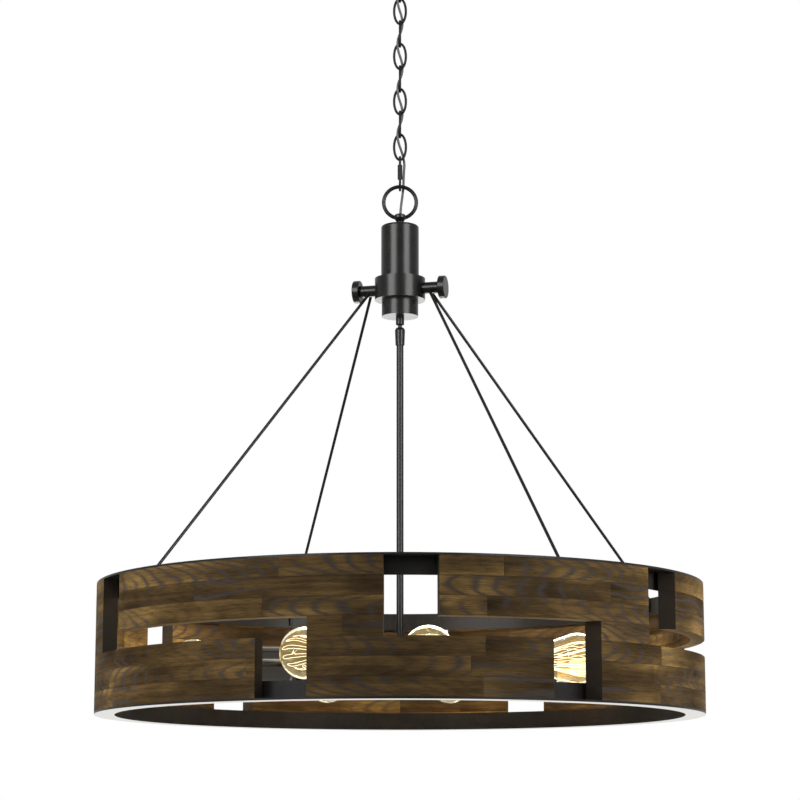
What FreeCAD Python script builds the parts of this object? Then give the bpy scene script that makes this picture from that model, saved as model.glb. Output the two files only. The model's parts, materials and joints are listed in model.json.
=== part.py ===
"""Drum chandelier on a chain: a ring of curved wood panels between two angle hoops, hung by four rods
from a column hub, with a ring of lamps on a stem that hangs from a ball swivel.

Millimetres, +Z up. The origin is on the ceiling, on the chandelier's axis. Angles round the drum are
counted from the front (-Y) towards +X.
"""
import FreeCAD, Part
import math
import os

import Sketcher

SIZES = [
    ("drum_diameter", 800, "outside of the wood and of both hoops"),
    ("drum_height", 170, "over both hoop flanges"),
    ("drum_drop", 495.5, "column top down to the drum's top edge"),
    ("hoop_flange", 26.4, "width of the hoops' flat flange"),
    ("hoop_web", 24, "height of the hoops' upright web"),
    ("hoop_thickness", 2.5, "steel of the hoops"),
    ("wood_thickness", 18.8, "panel, inside to outside"),
    ("long_angle", 58.5, "degrees along a long upper panel"),
    ("lower_long_angle", 57.9, "degrees along a long lower panel"),
    ("short_angle", 42.7, "degrees along a short panel"),
    ("end_lean", 1.4, "degrees by which the inner edge leads at a long panel's slanting end"),
    ("upper_start", -61.3, "angle where the first long upper panel begins"),
    ("lower_start", -15.8, "angle where the first short lower panel begins"),
    ("screw_diameter", 4, "wood screws of the panels"),
    ("screw_length", 26, "wood screws, head to point"),
    ("screw_point", 5, "tapered point of a wood screw"),
    ("screw_head", 7.6, "countersunk head"),
    ("screw_sink", 2.2, "depth of the countersunk head"),
    ("screw_inset", 6, "degrees from a panel's end to its screw"),
    ("canopy_diameter", 128, "ceiling cover"),
    ("canopy_depth", 26, "ceiling cover"),
    ("canopy_wall", 1.5, "ceiling cover"),
    ("canopy_flat", 92, "flat middle of the ceiling cover"),
    ("canopy_shoulder", 115, "ceiling cover where its side steepens"),
    ("canopy_shoulder_rise", 8, "flat middle up to the shoulder"),
    ("canopy_rim", 4, "upright rim of the ceiling cover"),
    ("crossbar_margin", 3, "steel past the end of a slot"),
    ("crossbar_width", 22, "bracket in the ceiling cover"),
    ("crossbar_thickness", 3, "bracket in the ceiling cover"),
    ("slot_spacing", 80, "between the centres of the two slots"),
    ("slot_width", 5, "slot for the ceiling screws"),
    ("slot_length", 20, "slot end to end"),
    ("stud_diameter", 10, "threaded studs of the loops and the swivel"),
    ("cord_bore", 5, "wire way down the studs"),
    ("nut_flats", 15, "stud nuts across the flats"),
    ("nut_height", 5, "stud nuts"),
    ("ring_nut_diameter", 24, "collar under the ceiling cover"),
    ("ring_nut_height", 8, "collar under the ceiling cover"),
    ("ring_nut_chamfer", 2, "collar's lower edge"),
    ("ring_diameter", 49.8, "outside of a loop's ring"),
    ("ring_wire", 5.2, "wire of a loop's ring"),
    ("cup_diameter", 16.7, "cup that a loop's ring grows from"),
    ("cup_height", 16, "cup that a loop's ring grows from"),
    ("cup_neck", 9.5, "narrow foot of the cup"),
    ("cup_neck_height", 5.3, "narrow foot of the cup"),
    ("cup_flare_height", 10.7, "cup base up to its full width"),
    ("cup_round", 2, "eased top of the cup"),
    ("ring_rise", 32.9, "cup base to ring centre"),
    ("link_count", 8, "chain links"),
    ("link_inside", 32.9, "inside length of a chain link"),
    ("link_width", 19.6, "outside width of a chain link"),
    ("link_wire", 3.4, "wire of a chain link"),
    ("quick_inside", 43, "inside length of the quick link"),
    ("quick_width", 17.6, "outside width of the quick link"),
    ("quick_wire", 3.4, "wire of the quick link"),
    ("quick_gate", 4.5, "gap that the sleeve closes"),
    ("gate_drop", 9, "middle of the quick link down to the gap's lower end"),
    ("sleeve_diameter", 6.6, "quick link sleeve"),
    ("sleeve_length", 20, "quick link sleeve"),
    ("swing_gap", 0.3, "between wires that hang in each other"),
    ("turn_gap", 0.05, "radial clearance of turning and sliding fits"),
    ("column_diameter", 51.4, "upper column"),
    ("column_height", 74.3, "upper column"),
    ("column_round", 3.5, "round on the column's top edge"),
    ("column_wall", 2, "wall of both columns"),
    ("column_plate", 4, "closed end of both columns"),
    ("collar_diameter", 68.6, "hub collar"),
    ("collar_height", 30, "hub collar"),
    ("collar_bore", 30, "hub collar"),
    ("tail_diameter", 49.5, "lower column"),
    ("tail_height", 22.8, "lower column"),
    ("arm_diameter", 16, "cross arms"),
    ("arm_yaw", 74.6, "angle of the right arm from the front"),
    ("arm_root", 24, "inner end of an arm, from the axis"),
    ("arm_reach", 55.2, "outer end of an arm, from the axis"),
    ("knob_diameter", 31, "end knob"),
    ("knob_height", 9, "end knob"),
    ("knob_chamfer", 0.8, "end knob's edges"),
    ("knob_pin", 8, "pin that the knob turns on"),
    ("knob_pin_length", 5, "pin that the knob turns on"),
    ("rod_diameter", 4, "hanging rods"),
    ("rod_root", 41, "where the rods leave the arms, from the axis"),
    ("rod_depth", 6, "rod hole in the arm"),
    ("rod_pitch", 6.4, "between the two rod holes of an arm"),
    ("rod_foot", 20, "upright foot of a rod on the hoop's web"),
    ("rod_front_left_angle", -55.2, "foot of a rod on the hoop"),
    ("rod_back_left_angle", -154.6, "foot of a rod on the hoop"),
    ("rod_front_right_angle", 31.1, "foot of a rod on the hoop"),
    ("rod_back_right_angle", 112.1, "foot of a rod on the hoop"),
    ("swivel_diameter", 11.3, "swivel stud below the hub"),
    ("swivel_length", 12.2, "swivel stud below the hub"),
    ("swivel_chamfer", 1.5, "swivel stud's lower edge"),
    ("neck_diameter", 5.5, "swivel neck"),
    ("neck_length", 5.2, "stud end to the ball's top"),
    ("ball_diameter", 9, "swivel ball"),
    ("bell_top_diameter", 13.8, "swivel bell at its shoulder"),
    ("bell_foot_diameter", 12.2, "swivel bell at its foot"),
    ("bell_height", 24.3, "swivel bell"),
    ("bell_floor", 2, "floor between the bell's two bores"),
    ("bell_shoulder", 4, "shoulder below the bell's top"),
    ("bell_crown", 1.5, "rounded top of the bell"),
    ("bell_ease", 0.8, "step of the rounded top"),
    ("bell_bore", 11, "room for the ball in the bell"),
    ("bell_lip", 2, "lip that closes the bell's top"),
    ("bell_mouth", 7.4, "opening for the neck"),
    ("seat_height", 1.7, "seat ring in the bell"),
    ("seat_lift", 2.3, "seat ring above the ball's middle"),
    ("seat_gap", 0.6, "tilting room round the seat ring"),
    ("seat_bore", 8.1, "seat ring in the bell"),
    ("stem_diameter", 9.5, "lamp stem"),
    ("stem_socket", 8, "depth that the stem seats at each end"),
    ("lamp_height", 64, "lamp axis above the drum's lower edge"),
    ("lamp_1_angle", 7.2, "front lamp"),
    ("lamp_2_angle", 54, "front right lamp"),
    ("lamp_3_angle", 94, "right lamp"),
    ("lamp_4_angle", 130, "back right lamp"),
    ("lamp_5_angle", 165, "back lamp"),
    ("lamp_6_angle", 202, "back left lamp"),
    ("lamp_7_angle", 243, "left lamp"),
    ("lamp_8_angle", 284, "left lamp"),
    ("lamp_9_angle", 335.2, "front left lamp"),
    ("body_diameter", 84, "lamp body"),
    ("body_height", 36, "lamp body"),
    ("body_wall", 3, "lamp body"),
    ("body_chamfer", 4, "lamp body's top edge"),
    ("cap_height", 6, "cover under the lamp body"),
    ("cap_taper", 6, "cover's slope, inward"),
    ("cap_rim", 2, "upright rim of the cover"),
    ("finial_diameter", 14, "finial under the lamp body"),
    ("finial_height", 10, "finial under the lamp body"),
    ("finial_belly", 4, "finial's tip up to its widest part"),
    ("finial_tip", 7, "finial's tip"),
    ("finial_neck", 9.4, "finial's neck"),
    ("tube_diameter", 10, "lamp arms"),
    ("tube_seat", 1, "lamp arm past the inside of the lamp body"),
    ("socket_start", 148, "socket's back, from the axis"),
    ("socket_diameter", 48, "socket shell"),
    ("socket_length", 58, "socket shell"),
    ("socket_wall", 1.5, "socket shell"),
    ("socket_chamfer", 3, "socket shell's back edge"),
    ("core_length", 42, "insulating core of the socket"),
    ("core_room", 4, "room for the wires behind the core"),
    ("base_diameter", 26.2, "screw base of the bulb"),
    ("base_length", 25, "screw base of the bulb"),
    ("base_contact", 13, "contact at the end of the screw base"),
    ("base_cone", 7.5, "sloping end of the screw base"),
    ("bulb_diameter", 64, "widest part of the bulb"),
    ("bulb_length", 112, "glass, base to tip"),
    ("bulb_neck", 27, "glass at the base"),
    ("glass_wall", 1, "glass"),
    ("post_diameter", 8, "glass post that carries the filament"),
    ("post_length", 34, "glass post that carries the filament"),
    ("post_foot", 14, "flared foot of the glass post"),
    ("post_flare", 10, "height of the flared foot"),
    ("filament_length", 46, "filament loop"),
    ("filament_width", 20, "filament loop"),
    ("filament_wire", 1.2, "filament loop"),
    ("cord_diameter", 2.6, "supply cord"),
    ("cord_weave", 6.8, "cord's place beside the wires at each crossing"),
    ("cord_beside", 5.0, "cord's place beside the quick link"),
    ("cord_lead", 3, "straight cord past each cup"),
]
STRIPS = 7
PANEL_STRIPS = 3
UNITS = 3
BEND_SHARE = 0.45

doc = FreeCAD.newDocument("drum_chandelier")
dim = doc.addObject("Spreadsheet::Sheet", "dim")
for row, (alias, value, meaning) in enumerate(SIZES, start=1):
    dim.set(f"A{row}", meaning)
    dim.set(f"B{row}", str(value))
    dim.setAlias(f"B{row}", alias)
doc.recompute()

nodes = []


def val(expression):
    """The number that an expression of the sheet's cells gives."""
    return float(dim.evalExpression(expression.replace("dim.", "")))


def polar(radius, angle, height):
    """A point at an angle from the front."""
    turn = math.radians(angle)
    return FreeCAD.Vector(radius * math.sin(turn), -radius * math.cos(turn), height)


def level(height):
    """A placement on the axis at a height."""
    return FreeCAD.Placement(FreeCAD.Vector(0, 0, height), FreeCAD.Rotation())


def along(point, direction):
    """A placement whose Z runs along a direction."""
    return FreeCAD.Placement(point, FreeCAD.Rotation(FreeCAD.Vector(0, 0, 1), direction))


def bind(item, **expressions):
    """Tie an object's properties to the sheet."""
    for name, expression in expressions.items():
        item.setExpression(name, expression)
    return item


def node(item, label, placement=None):
    """Name a sub-part and put it in its place."""
    item.Label = label
    if placement is not None:
        item.Placement = placement
    nodes.append(item)
    return item


def cylinder(radius, height, placement=None, angle="360"):
    """A cylinder, or a sector of one."""
    item = bind(doc.addObject("Part::Cylinder", "cylinder"), Radius=radius, Height=height, Angle=angle)
    if placement is not None:
        item.Placement = placement
    return item


def cut(base, tool):
    """One solid less another."""
    item = doc.addObject("Part::Cut", "cut")
    item.Base = base
    item.Tool = tool
    return item


def fuse(*items):
    """Several solids as one."""
    item = doc.addObject("Part::MultiFuse", "fuse")
    item.Shapes = list(items)
    return item


def pin_point(sketch, index, kind, axis, expression):
    """Hold one coordinate of an outline's corner."""
    value = val(expression)
    if abs(value) < 1e-9:
        sketch.addConstraint(Sketcher.Constraint("PointOnObject", index, 1, axis))
        return
    number = sketch.addConstraint(Sketcher.Constraint(kind, -1, 1, index, 1, value))
    sketch.setExpression(f"Constraints[{number}]", expression)


def turned(name, corners):
    """A body of revolution about Z; each corner is (radius, height)."""
    body = doc.addObject("PartDesign::Body", name)
    sketch = body.newObject("Sketcher::SketchObject", name + "_outline")
    plane = next(item for item in body.Origin.OriginFeatures if item.Role == "XZ_Plane")
    sketch.AttachmentSupport = [(plane, "")]
    sketch.MapMode = "FlatFace"
    points = [FreeCAD.Vector(val(radius), val(height), 0) for radius, height in corners]
    count = len(points)
    for index in range(count):
        sketch.addGeometry(Part.LineSegment(points[index], points[(index + 1) % count]))
    for index in range(count):
        sketch.addConstraint(Sketcher.Constraint("Coincident", index, 2, (index + 1) % count, 1))
    for index, (radius, height) in enumerate(corners):
        pin_point(sketch, index, "DistanceX", -2, radius)
        pin_point(sketch, index, "DistanceY", -1, height)
    spin = body.newObject("PartDesign::Revolution", name + "_turn")
    spin.Profile = sketch
    spin.ReferenceAxis = (sketch, ["V_Axis"])
    spin.Angle = 360
    doc.recompute()
    return body


def round_edge(body, radius, height, size):
    """Round the circular edge of a body at a radius and height."""
    turn = body.Tip
    for number, edge in enumerate(turn.Shape.Edges, start=1):
        box = edge.BoundBox
        if abs(box.ZMin - height) < 1e-6 and box.ZLength < 1e-6 and abs(box.XMax - radius) < 1e-6:
            fillet = body.newObject("PartDesign::Fillet", "fillet")
            fillet.Base = (turn, [f"Edge{number}"])
            fillet.setExpression("Radius", size)
            doc.recompute()
            return


def group(name, master, placements):
    """Separate copies of one solid in one shape."""
    doc.recompute()
    solids = []
    for placement in placements:
        shape = master.Shape.copy()
        shape.Placement = placement.multiply(shape.Placement)
        solids.append(shape)
    item = doc.addObject("Part::Feature", name)
    item.Shape = Part.makeCompound(solids)
    return item


def copies(label, master, placements):
    """A sub-part of separate copies of one solid."""
    return node(group(label, master, placements), label)


def oval(inside, width, wire):
    """An oval wire link in the XZ plane, centred on the origin."""
    bend = f"({width} - {wire}) / 2"
    leg = f"{inside} + {wire} - ({width} - {wire})"
    half_leg = val(leg) / 2
    ends = []
    for side in (1, -1):
        end = bind(doc.addObject("Part::Torus", "bend"), Radius1=bend, Radius2=f"{wire} / 2")
        end.Angle3 = 180
        turn = FreeCAD.Rotation(FreeCAD.Vector(1, 0, 0), 90 * side)
        end.Placement = FreeCAD.Placement(FreeCAD.Vector(0, 0, half_leg * side), turn)
        ends.append(end)
    for side in (1, -1):
        foot = FreeCAD.Vector(val(bend) * side, 0, -half_leg)
        ends.append(cylinder(f"{wire} / 2", leg, FreeCAD.Placement(foot, FreeCAD.Rotation())))
    return fuse(*ends)


def chain_link():
    """An elliptical wire link in the YZ plane, centred on the origin."""
    half_length = "(dim.link_inside + dim.link_wire) / 2"
    half_width = "(dim.link_width - dim.link_wire) / 2"
    spine = bind(doc.addObject("Part::Ellipse", "spine"), MajorRadius=half_length, MinorRadius=half_width)
    section = bind(doc.addObject("Part::Circle", "section"), Radius="dim.link_wire / 2")
    start = FreeCAD.Vector(val(half_length), 0, 0)
    section.Placement = FreeCAD.Placement(start, FreeCAD.Rotation(FreeCAD.Vector(1, 0, 0), 90))
    doc.recompute()
    link = doc.addObject("Part::Sweep", "link")
    link.Sections = [section]
    link.Spine = (spine, ["Edge1"])
    link.Solid = True
    return link


# Heights, from the ceiling down
ring_bore = val("dim.ring_diameter / 2 - dim.ring_wire")
swing_gap = val("dim.swing_gap")
canopy_foot = -val("dim.canopy_depth")
ring_nut_foot = canopy_foot - val("dim.ring_nut_height") - swing_gap
upper_cup = ring_nut_foot - 2 * swing_gap
upper_ring = upper_cup - val("dim.ring_rise")
chain_top = upper_ring - ring_bore
pitch = val("dim.link_inside - dim.swing_gap")
link_count = int(val("dim.link_count"))
first_link = chain_top + swing_gap - val("dim.link_inside / 2")
quick_top = first_link - (link_count - 1) * pitch - val("dim.link_inside / 2") + swing_gap
quick_middle = quick_top - val("dim.quick_inside / 2")
hub_ring = quick_top - val("dim.quick_inside") + swing_gap - ring_bore
column_top = hub_ring - val("dim.ring_rise")
collar_top = column_top - val("dim.column_height")
collar_foot = collar_top - val("dim.collar_height")
arm_level = (collar_top + collar_foot) / 2
tail_foot = collar_foot - val("dim.tail_height")
swivel_foot = tail_foot - val("dim.swivel_length")
neck_top = "dim.neck_length + dim.ball_diameter / 2"
ball_middle = swivel_foot - val(neck_top)
drum_top = column_top - val("dim.drum_drop")
drum_foot = drum_top - val("dim.drum_height")
lamp_level = drum_foot + val("dim.lamp_height")


# Ceiling cover and its bracket
bar_length = "dim.slot_spacing + dim.slot_length + 2 * dim.crossbar_margin"
bar = doc.addObject("Part::Box", "bar")
bind(bar, Length=bar_length, Width="dim.crossbar_width", Height="dim.crossbar_thickness")
bar_corner = FreeCAD.Vector(-val(f"({bar_length}) / 2"), -val("dim.crossbar_width / 2"), 0)
bar.Placement = FreeCAD.Placement(bar_corner, FreeCAD.Rotation())
slot_run = "dim.slot_length - dim.slot_width"
bar_holes = [cylinder("dim.stud_diameter / 2 + dim.turn_gap", "dim.crossbar_thickness")]
for side in (1, -1):
    middle = val("dim.slot_spacing / 2") * side
    reach = val(f"({slot_run}) / 2")
    for end in (1, -1):
        spot = FreeCAD.Vector(middle + reach * end, 0, 0)
        place = FreeCAD.Placement(spot, FreeCAD.Rotation())
        bar_holes.append(cylinder("dim.slot_width / 2", "dim.crossbar_thickness", place))
    slot = doc.addObject("Part::Box", "slot")
    bind(slot, Length=slot_run, Width="dim.slot_width", Height="dim.crossbar_thickness")
    corner = FreeCAD.Vector(middle - reach, -val("dim.slot_width / 2"), 0)
    slot.Placement = FreeCAD.Placement(corner, FreeCAD.Rotation())
    bar_holes.append(slot)
node(cut(bar, fuse(*bar_holes)), "crossbar", level(-val("dim.crossbar_thickness")))

canopy = turned("canopy_shell", [
    ("dim.stud_diameter / 2 + dim.turn_gap", "0"),
    ("dim.canopy_flat / 2", "0"),
    ("dim.canopy_shoulder / 2", "dim.canopy_shoulder_rise"),
    ("dim.canopy_diameter / 2", "dim.canopy_depth - dim.canopy_rim"),
    ("dim.canopy_diameter / 2", "dim.canopy_depth"),
    ("dim.canopy_diameter / 2 - dim.canopy_wall", "dim.canopy_depth"),
    ("dim.canopy_diameter / 2 - dim.canopy_wall", "dim.canopy_depth - dim.canopy_rim"),
    ("dim.canopy_shoulder / 2 - dim.canopy_wall", "dim.canopy_shoulder_rise + dim.canopy_wall / 2"),
    ("dim.canopy_flat / 2 - dim.canopy_wall", "dim.canopy_wall"),
    ("dim.stud_diameter / 2 + dim.turn_gap", "dim.canopy_wall"),
])
node(canopy, "canopy", level(canopy_foot))

ring_nut = turned("ring_nut", [
    ("dim.stud_diameter / 2 + dim.turn_gap", "0"),
    ("dim.ring_nut_diameter / 2 - dim.ring_nut_chamfer", "0"),
    ("dim.ring_nut_diameter / 2", "dim.ring_nut_chamfer"),
    ("dim.ring_nut_diameter / 2", "dim.ring_nut_height"),
    ("dim.stud_diameter / 2 + dim.turn_gap", "dim.ring_nut_height"),
])
node(ring_nut, "canopy_ring_nut", level(ring_nut_foot))


def hex_nut():
    """A hexagon nut for the studs, standing on the origin."""
    prism = doc.addObject("Part::Prism", "prism")
    prism.Polygon = 6
    bind(prism, Circumradius="dim.nut_flats / sqrt(3)", Height="dim.nut_height")
    return cut(prism, cylinder("dim.stud_diameter / 2 + dim.turn_gap", "dim.nut_height"))


def loop(name, stud):
    """A ring on a cup with a stud below it, cup base at the origin, bored for the cord."""
    cup = turned(name, [
        ("dim.cord_bore / 2", f"-({stud})"),
        ("dim.stud_diameter / 2", f"-({stud})"),
        ("dim.stud_diameter / 2", "0"),
        ("dim.cup_neck / 2", "0"),
        ("dim.cup_neck / 2", "dim.cup_neck_height"),
        ("dim.cup_diameter / 2", "dim.cup_flare_height"),
        ("dim.cup_diameter / 2", "dim.cup_height - dim.cup_round"),
        ("dim.cup_diameter / 2 - dim.cup_round", "dim.cup_height"),
        ("dim.cord_bore / 2", "dim.cup_height"),
    ])
    ring = doc.addObject("Part::Torus", "ring")
    bind(ring, Radius1="(dim.ring_diameter - dim.ring_wire) / 2", Radius2="dim.ring_wire / 2")
    turn = FreeCAD.Rotation(FreeCAD.Vector(1, 0, 0), 90)
    ring.Placement = FreeCAD.Placement(FreeCAD.Vector(0, 0, val("dim.ring_rise")), turn)
    way = cylinder("dim.cord_bore / 2", "dim.cup_height + dim.ring_wire", level(0))
    return fuse(cup, cut(ring, way))


upside_down = FreeCAD.Rotation(FreeCAD.Vector(1, 0, 0), 180)
upper_stud = f"{-upper_cup}"
canopy_loop = loop("canopy_cup", upper_stud)
node(canopy_loop, "canopy_loop", FreeCAD.Placement(FreeCAD.Vector(0, 0, upper_cup), upside_down))
node(hex_nut(), "crossbar_nut", level(-val("dim.crossbar_thickness + dim.nut_height")))

# Chain and quick link
for number in range(1, link_count + 1):
    upright = FreeCAD.Rotation(FreeCAD.Vector(0, 1, 0), -90)
    quarter = FreeCAD.Rotation(FreeCAD.Vector(0, 0, 1), 0 if number % 2 else 90)
    middle = FreeCAD.Vector(0, 0, first_link - (number - 1) * pitch)
    node(chain_link(), f"chain_link_{number}", FreeCAD.Placement(middle, quarter.multiply(upright)))

quick_leg = val("(dim.quick_width - dim.quick_wire) / 2")
gate_foot = FreeCAD.Placement(FreeCAD.Vector(-quick_leg, 0, -val("dim.gate_drop")), FreeCAD.Rotation())
gate = cylinder("dim.quick_wire", "dim.quick_gate", gate_foot)
quick_turn = FreeCAD.Rotation(FreeCAD.Vector(0, 0, 1), 90)
quick_place = FreeCAD.Placement(FreeCAD.Vector(0, 0, quick_middle), quick_turn)
node(cut(oval("dim.quick_inside", "dim.quick_width", "dim.quick_wire"), gate), "quick_link", quick_place)
sleeve = cut(
    cylinder("dim.sleeve_diameter / 2", "dim.sleeve_length"),
    cylinder("dim.quick_wire / 2 + dim.turn_gap", "dim.sleeve_length"),
)
sleeve_foot = FreeCAD.Vector(0, -quick_leg, quick_middle - val("dim.sleeve_length / 2"))
node(sleeve, "quick_link_sleeve", FreeCAD.Placement(sleeve_foot, FreeCAD.Rotation()))

# Hub: loop, two columns, collar, arms and knobs
node(loop("hub_cup", "dim.column_plate + dim.nut_height"), "hub_loop", level(column_top))

column = turned("column_tube", [
    ("dim.column_diameter / 2 - dim.column_wall", "0"),
    ("dim.column_diameter / 2", "0"),
    ("dim.column_diameter / 2", "dim.column_height"),
    ("dim.stud_diameter / 2 + dim.turn_gap", "dim.column_height"),
    ("dim.stud_diameter / 2 + dim.turn_gap", "dim.column_height - dim.column_plate"),
    ("dim.column_diameter / 2 - dim.column_wall", "dim.column_height - dim.column_plate"),
])
round_edge(column, val("dim.column_diameter / 2"), val("dim.column_height"), "dim.column_round")
node(column, "upper_column", level(collar_top))

tail = turned("tail_tube", [
    ("dim.stud_diameter / 2 + dim.turn_gap", "0"),
    ("dim.tail_diameter / 2", "0"),
    ("dim.tail_diameter / 2", "dim.tail_height"),
    ("dim.tail_diameter / 2 - dim.column_wall", "dim.tail_height"),
    ("dim.tail_diameter / 2 - dim.column_wall", "dim.column_plate"),
    ("dim.stud_diameter / 2 + dim.turn_gap", "dim.column_plate"),
])
node(tail, "lower_column", level(tail_foot))

under_plate = level(column_top - val("dim.column_plate + dim.nut_height"))
over_plate = level(tail_foot + val("dim.column_plate"))
copies("hub_nuts", hex_nut(), [under_plate, over_plate])

arm_sides = {"left": val("dim.arm_yaw") - 180, "right": val("dim.arm_yaw")}
collar_bores = [cylinder("dim.collar_bore / 2", "dim.collar_height", level(collar_foot))]
for angle in arm_sides.values():
    way = along(polar(val("dim.arm_root"), angle, arm_level), polar(1, angle, 0))
    collar_bores.append(cylinder("dim.arm_diameter / 2 + dim.turn_gap", "dim.arm_reach - dim.arm_root", way))
collar = cylinder("dim.collar_diameter / 2", "dim.collar_height", level(collar_foot))
node(cut(collar, fuse(*collar_bores)), "hub_collar")

web_face = val("dim.drum_diameter / 2 - dim.hoop_flange")
foot_radius = web_face - val("dim.rod_diameter / 2 + dim.swing_gap")
rod_names = {("left", 1): "rod_front_left", ("left", -1): "rod_back_left"}
rod_names.update({("right", -1): "rod_front_right", ("right", 1): "rod_back_right"})


def rod_run(side, sign):
    """Upper and lower end of a rod's straight stretch."""
    angle = arm_sides[side]
    root = polar(val("dim.rod_root"), angle, arm_level - val("dim.arm_diameter / 2 - dim.rod_depth"))
    aside = polar(val("dim.rod_pitch / 2"), angle + 90 * sign, 0)
    foot_angle = val(f"dim.{rod_names[side, sign]}_angle")
    return root + aside, polar(foot_radius, foot_angle, drum_top)


for side, angle in arm_sides.items():
    outward = polar(1, angle, 0)
    bar = cylinder("dim.arm_diameter / 2", "dim.arm_reach - dim.arm_root")
    bar.Placement = along(polar(val("dim.arm_root"), angle, arm_level), outward)
    pin = cylinder("dim.knob_pin / 2", "dim.knob_pin_length")
    pin.Placement = along(polar(val("dim.arm_reach"), angle, arm_level), outward)
    holes = []
    for sign in (1, -1):
        root, foot = rod_run(side, sign)
        run = foot.sub(root)
        hole = cylinder("dim.rod_diameter / 2 + dim.turn_gap", "dim.arm_diameter", along(root, run))
        holes.append(hole)
        leg = cylinder("dim.rod_diameter / 2", f"{run.Length}", along(root, run))
        bend = bind(doc.addObject("Part::Sphere", "bend"), Radius="dim.rod_diameter / 2")
        bend.Placement = FreeCAD.Placement(foot, FreeCAD.Rotation())
        toe = foot.sub(FreeCAD.Vector(0, 0, val("dim.rod_foot")))
        shoe = cylinder("dim.rod_diameter / 2", "dim.rod_foot", FreeCAD.Placement(toe, FreeCAD.Rotation()))
        node(fuse(leg, bend, shoe), rod_names[side, sign])
    node(cut(fuse(bar, pin), fuse(*holes)), f"arm_{side}")
    knob = turned(f"knob_{side}_disc", [
        ("dim.knob_pin / 2 + dim.turn_gap", "0"),
        ("dim.knob_diameter / 2 - dim.knob_chamfer", "0"),
        ("dim.knob_diameter / 2", "dim.knob_chamfer"),
        ("dim.knob_diameter / 2", "dim.knob_height - dim.knob_chamfer"),
        ("dim.knob_diameter / 2 - dim.knob_chamfer", "dim.knob_height"),
        ("0", "dim.knob_height"),
        ("0", "dim.knob_pin_length"),
        ("dim.knob_pin / 2 + dim.turn_gap", "dim.knob_pin_length"),
    ])
    knob_start = val("dim.arm_reach + dim.swing_gap")
    node(knob, f"knob_{side}", along(polar(knob_start, angle, arm_level), outward))

# Ball swivel
collar_end = f"{neck_top} + dim.swivel_length"
thread_end = f"{collar_end} + dim.column_plate + dim.nut_height"
stud = turned("swivel_pin", [
    ("0", "0"),
    ("dim.neck_diameter / 2", "0"),
    ("dim.neck_diameter / 2", neck_top),
    ("dim.swivel_diameter / 2 - dim.swivel_chamfer", neck_top),
    ("dim.swivel_diameter / 2", f"{neck_top} + dim.swivel_chamfer"),
    ("dim.swivel_diameter / 2", collar_end),
    ("dim.stud_diameter / 2", collar_end),
    ("dim.stud_diameter / 2", thread_end),
    ("0", thread_end),
])
ball = bind(doc.addObject("Part::Sphere", "ball"), Radius="dim.ball_diameter / 2")
node(fuse(stud, ball), "swivel_stud", level(ball_middle))

seat_foot = ball_middle + val("dim.seat_lift")
bell_foot = seat_foot + val("dim.seat_height + dim.seat_gap + dim.bell_lip - dim.bell_height")
bell = turned("bell", [
    ("dim.stem_diameter / 2 + dim.turn_gap", "0"),
    ("dim.bell_foot_diameter / 2", "0"),
    ("dim.bell_top_diameter / 2", "dim.bell_height - dim.bell_shoulder"),
    ("dim.bell_top_diameter / 2 - dim.bell_ease", "dim.bell_height - dim.bell_crown"),
    ("dim.bell_mouth / 2 + dim.bell_ease", "dim.bell_height"),
    ("dim.bell_mouth / 2", "dim.bell_height"),
    ("dim.bell_mouth / 2", "dim.bell_height - dim.bell_lip"),
    ("dim.bell_bore / 2", "dim.bell_height - dim.bell_lip"),
    ("dim.bell_bore / 2", "dim.stem_socket + dim.bell_floor"),
    ("0", "dim.stem_socket + dim.bell_floor"),
    ("0", "dim.stem_socket"),
    ("dim.stem_diameter / 2 + dim.turn_gap", "dim.stem_socket"),
])
node(bell, "swivel_bell", level(bell_foot))
seat = turned("seat", [
    ("dim.seat_bore / 2", "0"),
    ("dim.bell_bore / 2 - dim.seat_gap", "0"),
    ("dim.bell_bore / 2 - dim.seat_gap", "dim.seat_height"),
    ("dim.seat_bore / 2", "dim.seat_height"),
])
node(seat, "swivel_seat", level(seat_foot))

# Stem and lamp body
body_foot = lamp_level - val("dim.body_height / 2")
stem_foot = body_foot + val("dim.body_height") - val("dim.stem_socket")
stem_top = bell_foot + val("dim.stem_socket")
node(cylinder("dim.stem_diameter / 2", f"{stem_top - stem_foot}"), "stem", level(stem_foot))

body = turned("lamp_pot", [
    ("dim.body_diameter / 2 - dim.body_wall", "0"),
    ("dim.body_diameter / 2", "0"),
    ("dim.body_diameter / 2", "dim.body_height - dim.body_chamfer"),
    ("dim.body_diameter / 2 - dim.body_chamfer", "dim.body_height"),
    ("dim.stem_diameter / 2 + dim.turn_gap", "dim.body_height"),
    ("dim.stem_diameter / 2 + dim.turn_gap", "dim.body_height - dim.stem_socket"),
    ("dim.body_diameter / 2 - dim.body_wall - dim.body_chamfer", "dim.body_height - dim.stem_socket"),
    ("dim.body_diameter / 2 - dim.body_wall", "dim.body_height - dim.stem_socket - dim.body_chamfer"),
])
body.Placement = level(body_foot)
aliases = [alias for alias, value, meaning in SIZES]
lamp_names = [alias for alias in aliases if alias.startswith("lamp_") and alias.endswith("_angle")]
lamp_angles = [val(f"dim.{alias}") for alias in lamp_names]


def lamp_places(radius):
    """One placement per lamp, Z outward, at a distance from the axis."""
    return [along(polar(radius, angle, lamp_level), polar(1, angle, 0)) for angle in lamp_angles]


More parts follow.
